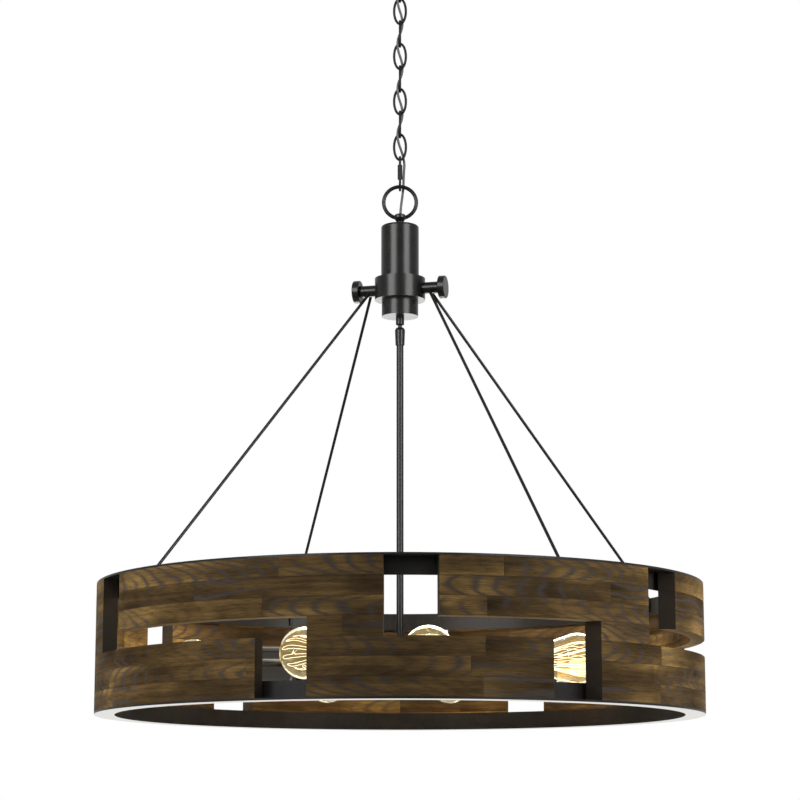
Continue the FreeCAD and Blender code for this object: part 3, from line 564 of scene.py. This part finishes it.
@dataclass(frozen=True)
class MetalFinish:
    """Lacquered or bare metal with polishing lines, cloudy colour and small marks."""

    base: Colour
    shade: Colour
    rough: float
    metallic: float
    coat: float
    shine: float
    brush: Brush
    # painted reflection: a pale, smooth, metallic colour on downward faces between two heights,
    # standing in for the bright floor reflected there
    reflection_between: Span | None = None
    painted_reflection: Colour = (0.76, 0.74, 0.69)
    polished_below: float | None = None
    polished: Colour = (0.046, 0.042, 0.035)
    polished_beyond: float = 0.1
    cloud_cells: float = 60.0
    mark_cells: float = 900.0
    line_shade: float = 0.6
    cloud_shade: float = 0.5
    shade_span: Span = (0.3, 0.8)
    line_rough: float = 0.10
    cloud_rough: float = 0.08
    mean_rough: float = 0.09
    reflection_turn: float = -0.92
    reflection_rough: float = 0.30
    polish: float = 0.62
    polished_metallic: float = 0.9
    line_height: float = 0.7
    mark_height: float = 0.3
    relief: float = 0.03
    relief_depth: float = 0.0004
    coat_rough: float = 0.20
    coat_index: float = 1.3

    def make(self, name: str) -> bpy.types.Material:
        """Fine lines over a cloudy base under a clear coat, with flat undersides left bare.

        Args:
            Fine lines over a cloudy base under a clear coat, with a painted reflection of the
            bright floor on flat undersides.

        Returns:
            The material.
        """
        s = Shader(name)
        x, y, z = s.place()
        wide, deep, tall = self.brush.value
        brushed = s.vector(x * wide, y * deep, z * tall)
        lines = s.noise(brushed, scale=1.0, detail=3.0, rough=0.6)
        cloud = s.noise(s.vector(x, y, z), self.cloud_cells, detail=3.0, rough=0.5)
        marks = s.noise(s.vector(x, y, z), self.mark_cells, detail=2.0, rough=0.6)
        shaded = s.range(lines * self.line_shade + cloud * self.cloud_shade, self.shade_span)
        colour = s.mix(shaded, self.base, self.shade)
        rough = lines * self.line_rough + cloud * self.cloud_rough + (self.rough - self.mean_rough)
        metallic: Operand = self.metallic
        # painted reflection of the bright floor on downward faces between two heights
        if self.reflection_between:
            upward = s.split("Normal")[2]
            low, high = self.reflection_between
            painted_reflection = (upward < self.reflection_turn) * (z > low) * (z < high)
            colour = s.mix(painted_reflection, colour, self.painted_reflection)
            rough = rough - painted_reflection * (self.rough - self.reflection_rough)
            metallic = painted_reflection * (1.0 - self.metallic) + self.metallic
        if self.polished_below is not None:
            outside = (x * x + y * y) > self.polished_beyond ** 2
            bright = (z < self.polished_below) * outside
            colour = s.mix(bright, colour, self.polished)
            rough = rough * (1.0 - bright * self.polish)
            metallic = (bright * self.polished_metallic).largest(metallic)
        height = lines * self.line_height + marks * self.mark_height
        normal = s.bump(height, self.relief, self.relief_depth)
        return s.surface(Base_Color=colour, Roughness=rough, Metallic=metallic, Normal=normal,
                         Coat_Weight=self.coat, Coat_Roughness=self.coat_rough,
                         Coat_IOR=self.coat_index, Specular_IOR_Level=self.shine)


@dataclass(frozen=True)
class GlassFinish:
    """Blown glass with a tint, a faint waviness and, round a lit filament, a faint glow."""

    tint: Colour
    index: float
    glow: Colour = (1.0, 0.88, 0.42)
    strength: float = 0.0
    deeper: float = 0.97
    cells: float = 45.0
    wave_span: Span = (0.3, 0.7)
    rough_span: Span = (0.0, 0.02)
    relief: float = 0.03
    relief_depth: float = 0.002

    def make(self, name: str) -> bpy.types.Material:
        """Clear glass, a little uneven.

        Args:
            name: the material's name.

        Returns:
            The material.
        """
        s = Shader(name)
        x, y, z = s.place()
        wave = s.noise(s.vector(x, y, z), self.cells, detail=2.0, rough=0.5)
        red, green, blue = (part * self.deeper for part in self.tint)
        colour = s.mix(wave, self.tint, (red, green, blue))
        rough = s.range(wave, self.wave_span, self.rough_span)
        normal = s.bump(wave, self.relief, self.relief_depth)
        return s.surface(Base_Color=colour, Roughness=rough, Normal=normal, Transmission_Weight=1.0,
                         IOR=self.index, Emission_Color=self.glow, Emission_Strength=self.strength)


@dataclass(frozen=True)
class GlowFinish:
    """Filament wire that is lit."""

    hot: Colour = (1.0, 0.80, 0.62)
    core: Colour = (1.0, 0.91, 0.84)
    strength: float = 3.2
    cells: float = 130.0
    wire: Colour = (0.3, 0.16, 0.05)
    rough: float = 0.5

    def make(self, name: str) -> bpy.types.Material:
        """A glow that wanders a little along the wire.

        Args:
            name: the material's name.

        Returns:
            The material.
        """
        s = Shader(name)
        x, y, z = s.place()
        drift = s.noise(s.vector(x, y, z), self.cells, detail=2.0, rough=0.5)
        glow = s.mix(drift, self.hot, self.core)
        return s.surface(Base_Color=self.wire, Roughness=self.rough, Emission_Color=glow,
                         Emission_Strength=self.strength)


@dataclass(frozen=True)
class CeramicFinish:
    """White glaze with a faint cloud."""

    white: Colour = (0.80, 0.78, 0.73)
    shade: Colour = (0.70, 0.68, 0.62)
    cells: float = 80.0
    rough: float = 0.16
    cloud_rough: float = 0.12
    coat: float = 0.4

    def make(self, name: str) -> bpy.types.Material:
        """Glaze over an even body.

        Args:
            name: the material's name.

        Returns:
            The material.
        """
        s = Shader(name)
        x, y, z = s.place()
        cloud = s.noise(s.vector(x, y, z), self.cells, detail=3.0, rough=0.5)
        colour = s.mix(cloud, self.white, self.shade)
        rough = cloud * self.cloud_rough + self.rough
        return s.surface(Base_Color=colour, Roughness=rough, Coat_Weight=self.coat)


@dataclass(frozen=True)
class CordFinish:
    """Woven sheath of a supply cord."""

    base: Colour = (0.0060, 0.0055, 0.0052)
    raised: Colour = (0.0150, 0.0138, 0.0130)
    pitch: float = 5200.0
    starts: float = 3.0
    rough: float = 0.55
    thread_rough: float = 0.15
    relief: float = 0.3
    relief_depth: float = 0.0004

    def make(self, name: str) -> bpy.types.Material:
        """Slanting threads along the cord.

        Args:
            name: the material's name.

        Returns:
            The material.
        """
        s = Shader(name)
        x, y, z = s.place()
        threads = (z * self.pitch + y.arctan2(x) * self.starts).wave()
        colour = s.mix(threads, self.base, self.raised)
        rough = threads * self.thread_rough + self.rough
        normal = s.bump(threads, self.relief, self.relief_depth)
        return s.surface(Base_Color=colour, Roughness=rough, Normal=normal)


FINISHES: dict[Slot, Finish] = {
    Slot.WALNUT: WoodFinish(),
    # painted reflection of the bright floor on downward faces between -0.60 and -0.50 m
    Slot.BRONZE: MetalFinish(
        base=(0.0030, 0.0029, 0.0028), shade=(0.0062, 0.0060, 0.0058), rough=0.29, metallic=0.0,
        coat=0.08, shine=0.08, brush=Brush.ROUND, reflection_between=(-0.60, -0.50),
        painted_reflection=(0.58, 0.58, 0.58), polished_below=-1.0),
    # painted reflection of the bright floor on the downward faces of the bottom flange
    Slot.HOOP: MetalFinish(
        base=(0.0068, 0.0063, 0.0058), shade=(0.0108, 0.0100, 0.0092), rough=0.40, metallic=0.0,
        coat=0.1, shine=0.03, brush=Brush.FINE, reflection_between=(-1.12, -1.10)),
    Slot.CHAIN: MetalFinish(
        base=(0.0045, 0.0043, 0.0041), shade=(0.0085, 0.0082, 0.0078), rough=0.42, metallic=0.0,
        coat=0.05, shine=0.035, brush=Brush.FINE),
    Slot.ZINC: MetalFinish(
        base=(0.50, 0.50, 0.49), shade=(0.60, 0.60, 0.58), rough=0.35, metallic=1.0, coat=0.0,
        shine=0.5, brush=Brush.FINE),
    Slot.AMBER: GlassFinish(tint=(1.0, 0.90, 0.70), index=1.15, strength=0.045),
    Slot.CLEAR: GlassFinish(tint=(0.96, 0.96, 0.94), index=1.45),
    Slot.FILAMENT: GlowFinish(),
    Slot.BRASS: MetalFinish(
        base=(0.62, 0.42, 0.16), shade=(0.74, 0.54, 0.26), rough=0.32, metallic=1.0, coat=0.0,
        shine=0.5, brush=Brush.ROUND),
    Slot.PORCELAIN: CeramicFinish(),
    Slot.CORD: CordFinish(),
}


class Workshop:
    """Small helpers round Blender's operators."""

    SPLINE_ORDER = 3
    SPLINE_STEPS = 6
    SMOOTH_ANGLE = 60.0

    @staticmethod
    def clear() -> None:
        """Deselect everything."""
        bpy.ops.object.select_all(action="DESELECT")

    @classmethod
    def only(cls, *items: bpy.types.Object) -> None:
        """Select some objects and nothing else.

        Args:
            items: the objects; the last becomes active.
        """
        cls.clear()
        for item in items:
            item.select_set(True)
        bpy.context.view_layer.objects.active = items[-1]

    @classmethod
    def settle(cls, item: bpy.types.Object) -> None:
        """Put an object's place, turn and scale into its mesh."""
        cls.only(item)
        bpy.ops.object.transform_apply(location=True, rotation=True, scale=True)

    @classmethod
    def smooth(cls, item: bpy.types.Object) -> None:
        """Shade smooth except over sharp edges."""
        cls.only(item)
        bpy.ops.object.shade_smooth_by_angle(angle=math.radians(cls.SMOOTH_ANGLE))

    @classmethod
    def join(cls, items: Sequence[bpy.types.Object], name: str) -> bpy.types.Object:
        """Join several meshes into one piece.

        Args:
            items: the meshes.
            name: the piece's name.

        Returns:
            The piece.
        """
        cls.only(*items)
        bpy.ops.object.join()
        piece = bpy.context.view_layer.objects.active
        piece.name = name
        piece.data.name = name
        return piece

    @staticmethod
    def copy(item: bpy.types.Object, matrix: Matrix) -> bpy.types.Object:
        """Copy an object together with its mesh.

        Args:
            item: the object.
            matrix: how the copy's mesh is moved.

        Returns:
            The copy.
        """
        twin = item.copy()
        twin.data = item.data.copy()
        bpy.context.collection.objects.link(twin)
        twin.data.transform(matrix)
        return twin

    @classmethod
    def wire(cls, name: str, points: Sequence[Point], radius: float,
             sides: int) -> bpy.types.Object:
        """A round wire along a smooth spline, made a mesh.

        Args:
            name: the wire's name.
            points: control points.
            radius: half the wire's thickness.
            sides: bevel resolution.

        Returns:
            The mesh object.
        """
        curve = bpy.data.curves.new(name, "CURVE")
        curve.dimensions = "3D"
        curve.bevel_depth = radius
        curve.bevel_resolution = sides
        curve.use_fill_caps = True
        spline = curve.splines.new("NURBS")
        spline.points.add(len(points) - 1)
        for spot, point in zip(spline.points, points):
            spot.co = (*point, 1.0)
        spline.order_u = cls.SPLINE_ORDER
        spline.use_endpoint_u = True
        spline.resolution_u = cls.SPLINE_STEPS
        item = bpy.data.objects.new(name, curve)
        bpy.context.collection.objects.link(item)
        cls.only(item)
        bpy.ops.object.convert(target="MESH")
        return bpy.context.view_layer.objects.active


@dataclass
class Dresser:
    """Materials by slot, put on solids and new pieces."""

    record: dict[str, Any]

    def __post_init__(self) -> None:
        """Make every finish once."""
        self.materials = {slot: finish.make(slot.value) for slot, finish in FINISHES.items()}

    def dress(self, item: bpy.types.Object, slot: Slot) -> None:
        """Give a piece the finish of a slot."""
        item.data.materials.clear()
        item.data.materials.append(self.materials[slot])

    def dress_solids(self, nodes: dict[str, bpy.types.Object]) -> None:
        """Give every solid the finish that the record names and report it.

        Args:
            nodes: the solids by name.
        """
        for entry in self.record["subparts"]:
            slot = Slot(entry["material_slot"])
            self.dress(nodes[entry["node"]], slot)
            LOG.info("%s: %s", entry["node"], slot.value)

    def new_piece(self, item: bpy.types.Object, slot: Slot) -> None:
        """Dress a new piece and report its faces.

        Args:
            item: the finished piece.
            slot: its finish.
        """
        self.dress(item, slot)
        LOG.info("%s: %d faces", item.name, len(item.data.polygons))


@dataclass
class Cord:
    """Supply cord that weaves through the chain, in one stretch for each joint that it crosses."""

    diameter: float = 0.0034
    sides: int = 3
    weave: float = 0.0068
    beside: float = 0.005
    lead: float = 0.003
    links: int = 8
    pitch: float = 0.0326
    cup: float = -0.0349
    chain_top: float = -0.0875
    swing: float = 0.0003
    quick_middle: float = -0.3695
    hub_ring: float = -0.4104
    ring_bore: float = 0.0197
    column_top: float = -0.4433
    cup_height: float = 0.016
    bend: float = 0.010
    above: float = 0.0
    below: float = -1.0

    def route(self) -> list[Point]:
        """Lead the cord from the ceiling cup to the hub cup.

        Returns:
            The control points of its spline.
        """
        lead = self.cup_height + self.lead
        points: list[Point] = [(0, 0, self.cup + self.lead), (0, 0, self.cup - lead)]
        for crossing in range(self.links + 1):
            side = -self.weave if crossing % 2 else self.weave
            points.append((side, side, self.chain_top + self.swing / 2 - crossing * self.pitch))
        points.append((self.beside, self.beside, self.quick_middle))
        ring_top = self.hub_ring + self.ring_bore
        points.append((self.beside - self.swing, self.beside + self.swing, ring_top))
        points.append((0, 0, self.column_top + lead))
        points.append((0, 0, self.column_top - self.lead))
        return points

    def build(self, dresser: Dresser) -> None:
        """Make the stretches, each spanning its own joint.

        Args:
            dresser: the finishes.
        """
        whole = Workshop.wire("cord_whole", self.route(), self.diameter / 2, self.sides)
        joints = [self.chain_top - self.pitch * number for number in range(self.links + 1)]
        joints.append(self.hub_ring + self.ring_bore)
        halfway = [(high + low) / 2 for high, low in zip(joints, joints[1:])]
        cuts = [self.above, *halfway, self.below]
        for number, joint in enumerate(joints):
            stretch = Workshop.copy(whole, Matrix.Identity(4))
            stretch.name = f"cord_stretch_{number + 1}"
            self.trim(stretch, cuts[number], cuts[number + 1])
            Workshop.smooth(stretch)
            dresser.new_piece(stretch, Slot.CORD)
            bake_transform(stretch)
            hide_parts("cord")
        bpy.data.objects.remove(whole)

    @staticmethod
    def trim(item: bpy.types.Object, high: float, low: float) -> None:
        """Cut a mesh off above one level and below another.

        Args:
            item: the mesh object.
            high: the upper level.
            low: the lower level.
        """
        Workshop.only(item)
        bpy.ops.object.mode_set(mode="EDIT")
        for level, upper in ((high, True), (low, False)):
            bpy.ops.mesh.select_all(action="SELECT")
            bpy.ops.mesh.bisect(plane_co=(0, 0, level), plane_no=(0, 0, 1), use_fill=False,
                                clear_outer=upper, clear_inner=not upper)
        bpy.ops.object.mode_set(mode="OBJECT")


@dataclass
class Bulbs:
    """Cage filaments on their posts and the light of the bulbs, one for each lamp."""

    angles: tuple[float, ...] = (7.2, 54.0, 94.0, 130.0, 165.0, 202.0, 243.0, 284.0, 335.2)
    level: float = -1.0448
    start: float = 0.1955
    wire: float = 0.00020
    wire_sides: int = 1
    loops: int = 11
    shares: tuple[float, ...] = (0.00, 0.80, 1.20, 1.56, 1.16, 0.46)
    foot: float = 0.030
    crown: float = 0.104
    foot_radius: float = 0.0090
    belly_radius: float = 0.0225
    crown_radius: float = 0.0190
    power: float = 0.55
    warm: Colour = (1.0, 0.72, 0.36)
    softness: float = 0.012
    glow: float = 0.115
    lift: float = 0.020

    def place(self, number: int) -> Matrix:
        """Find a lamp's place.

        Args:
            number: which lamp, from zero.

        Returns:
            The lamp's frame, Z outward along the lamp.
        """
        angle = math.radians(self.angles[number])
        outward = Vector((math.sin(angle), -math.cos(angle), 0.0))
        turn = Vector((0, 0, 1)).rotation_difference(outward).to_matrix().to_4x4()
        return Matrix.Translation(outward * self.start + Vector((0, 0, self.level))) @ turn

    def cage_points(self) -> list[Point]:
        """Lead the wire in slanting hairpins up and down round the post.

        Returns:
            The control points of its spline.
        """
        foot = (self.foot, self.foot_radius)
        belly = ((self.foot + self.crown * 2) / 3, self.belly_radius)
        crown = (self.crown, self.crown_radius)
        hairpin = (foot, belly, crown, crown, belly, foot)
        step = math.tau / self.loops
        points: list[Point] = []
        for loop in range(self.loops):
            for share, (height, radius) in zip(self.shares, hairpin):
                angle = step * (loop + share)
                points.append((radius * math.cos(angle), radius * math.sin(angle), height))
        return points

    def build(self, dresser: Dresser) -> bpy.types.Object:
        """Make one cage and copy it to every lamp.

        Args:
            dresser: the finishes.

        Returns:
            The cages as one piece.
        """
        cage = Workshop.wire("cage", self.cage_points(), self.wire, self.wire_sides)
        copies = [Workshop.copy(cage, self.place(number)) for number in range(len(self.angles))]
        bpy.data.objects.remove(cage)
        piece = Workshop.join(copies, "cage_filaments")
        Workshop.smooth(piece)
        dresser.new_piece(piece, Slot.FILAMENT)
        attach(piece, "lamps")
        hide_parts("filaments")
        return piece

    def lights(self, carrier: bpy.types.Object) -> None:
        """Set a warm light at every bulb.

        Args:
            carrier: the piece that carries the lights along.
        """
        rise = Vector((0.0, 0.0, self.lift))
        for number in range(len(self.angles)):
            data = bpy.data.lights.new(f"bulb_light_{number + 1}", "POINT")
            data.energy = self.power
            data.color = self.warm
            data.shadow_soft_size = self.softness
            item = bpy.data.objects.new(data.name, data)
            item.location = self.place(number) @ Vector((0.0, 0.0, self.glow)) + rise
            item.parent = carrier
            item.visible_camera = False
            item.visible_glossy = False
            item.visible_transmission = False
            bpy.context.collection.objects.link(item)


@dataclass(frozen=True)
class Lamp:
    """A square lamp that faces a point and lights matt surfaces, or with shine only glossy ones."""

    name: str
    place: Point
    target: Point
    size: float
    power: float
    colour: Colour
    shine: bool = False

    def build(self) -> None:
        """Hang the lamp."""
        data = bpy.data.lights.new(self.name, "AREA")
        data.shape = "SQUARE"
        data.size = self.size
        data.energy = self.power
        data.color = self.colour
        item = bpy.data.objects.new(self.name, data)
        item.location = self.place
        aim = Vector(self.target) - Vector(self.place)
        item.rotation_euler = aim.to_track_quat("-Z", "Y").to_euler()
        item.visible_camera = False
        item.visible_glossy = self.shine
        item.visible_diffuse = not self.shine
        bpy.context.collection.objects.link(item)


@dataclass
class Studio:
    """Camera, floor, backdrop light and lamps."""

    distance: float = 3.2
    height: float = -1.2740
    pitch: float = 10.427
    lens: float = 108.6
    sensor: float = 36.0
    sight: float = 50.0
    floor_level: float = -4.2
    floor_size: float = 24.0
    floor_cells: float = 1.5
    floor_shades: tuple[Colour, Colour] = ((0.86, 0.86, 0.86), (0.90, 0.90, 0.90))
    floor_lift: float = 0.54
    ambient: float = 0.57
    drum: Point = (0.0, 0.0, -0.95)
    hub: Point = (0.0, 0.0, -0.5)
    warm: Colour = (1.0, 0.98, 0.95)
    mild: Colour = (1.0, 0.98, 0.96)

    def camera(self) -> None:
        """Look up at the drum from the photograph's place."""
        data = bpy.data.cameras.new("camera")
        data.lens = self.lens
        data.sensor_width = self.sensor
        data.clip_end = self.sight
        item = bpy.data.objects.new("camera", data)
        item.location = (0.0, -self.distance, self.height)
        item.rotation_euler = (math.radians(90.0 + self.pitch), 0.0, 0.0)
        bpy.context.collection.objects.link(item)
        bpy.context.scene.camera = item

    def world(self) -> None:
        """White where it is seen, in the metal and through the glass; softer where it lights."""
        world = bpy.data.worlds.new("studio")
        bpy.context.scene.world = world
        world.use_nodes = True
        nodes = world.node_tree.nodes
        links = world.node_tree.links
        nodes.clear()
        path = nodes.new("ShaderNodeLightPath")
        first = nodes.new("ShaderNodeMath")
        first.operation = "MAXIMUM"
        second = nodes.new("ShaderNodeMath")
        second.operation = "MAXIMUM"
        seen = nodes.new("ShaderNodeBackground")
        seen.inputs["Strength"].default_value = 1.0
        seen.inputs["Color"].default_value = (*WHITE, 1.0)
        light = nodes.new("ShaderNodeBackground")
        light.inputs["Strength"].default_value = self.ambient
        mix = nodes.new("ShaderNodeMixShader")
        output = nodes.new("ShaderNodeOutputWorld")
        links.new(path.outputs["Is Camera Ray"], first.inputs[0])
        links.new(path.outputs["Is Glossy Ray"], first.inputs[1])
        links.new(first.outputs[0], second.inputs[0])
        links.new(path.outputs["Is Transmission Ray"], second.inputs[1])
        links.new(second.outputs[0], mix.inputs[0])
        links.new(light.outputs[0], mix.inputs[1])
        links.new(seen.outputs[0], mix.inputs[2])
        links.new(mix.outputs[0], output.inputs["Surface"])

    def floor_finish(self) -> bpy.types.Material:
        """Pale and matt with the part's shadow, and white in the metal and through the glass.

        Returns:
            The floor's material.
        """
        s = Shader("pale_floor")
        x, y, z = s.place()
        cloud = s.noise(s.vector(x, y, z), self.floor_cells, detail=2.0, rough=0.5)
        colour = s.mix(cloud, *self.floor_shades)
        matt = s.node("ShaderNodeBsdfDiffuse", None, {"Color": colour})
        seen = s.node("ShaderNodeLightPath", out="Is Camera Ray")
        lifted = {"Color": WHITE, "Strength": seen * self.floor_lift}
        lift = s.node("ShaderNodeEmission", None, lifted)
        pale = s.node("ShaderNodeAddShader", None, {0: matt, 1: lift})
        mirrored = s.node("ShaderNodeLightPath", out="Is Glossy Ray")
        through = s.node("ShaderNodeLightPath", out="Is Transmission Ray")
        white = s.node("ShaderNodeEmission", None, {"Color": WHITE, "Strength": 1.0})
        shares = {0: mirrored.largest(through), 1: pale, 2: white}
        return s.finish(s.node("ShaderNodeMixShader", None, shares))

    def floor(self) -> None:
        """A pale floor well below the drum."""
        Workshop.clear()
        middle = (0.0, 0.0, self.floor_level)
        bpy.ops.mesh.primitive_plane_add(size=self.floor_size, location=middle)
        item = bpy.context.view_layer.objects.active
        item.name = "floor"
        Workshop.settle(item)
        item.data.materials.append(self.floor_finish())

    def lamps(self) -> tuple[Lamp, ...]:
        """Soft boxes all round, over and under, and two large panes that shine in the metal.

        Returns:
            The lamps in the order in which they are hung.
        """
        return (
            Lamp("soft_left", (-3.2, -0.6, -0.4), self.drum, 1.5, 222.0, self.warm),
            Lamp("soft_right", (3.2, -0.6, -0.5), self.drum, 1.5, 256.0, self.mild),
            Lamp("soft_front", (-0.3, -3.6, 0.4), self.drum, 1.5, 38.0, self.warm),
            Lamp("soft_back", (0.3, 3.6, 0.4), self.drum, 1.5, 90.0, self.warm),
            Lamp("soft_top", (0.0, -0.6, 1.4), self.drum, 1.8, 22.0, WHITE),
            Lamp("soft_under", (0.0, 0.1, -3.4), self.drum, 1.6, 45.0, self.warm),
            Lamp("strip_left", (-2.2, -2.7, 0.35), self.hub, 2.0, 330.0, WHITE, True),
            Lamp("strip_right", (2.3, -2.6, 0.35), self.hub, 2.0, 330.0, WHITE, True),
        )

    def build(self) -> None:
        """Set the scene."""
        bpy.context.scene.view_settings.view_transform = "Standard"
        self.camera()
        self.world()
        self.floor()
        for lamp in self.lamps():
            lamp.build()


def main() -> None:
    """Dress the solids, add the new pieces and set the studio."""
    logging.basicConfig(level=logging.INFO, format="%(name)s %(message)s")
    dresser = Dresser(frame["record"])
    dresser.dress_solids(frame["nodes"])
    Studio().build()
    Cord().build(dresser)
    bulbs = Bulbs()
    bulbs.lights(bulbs.build(dresser))


if __name__ == "__main__":
    main()
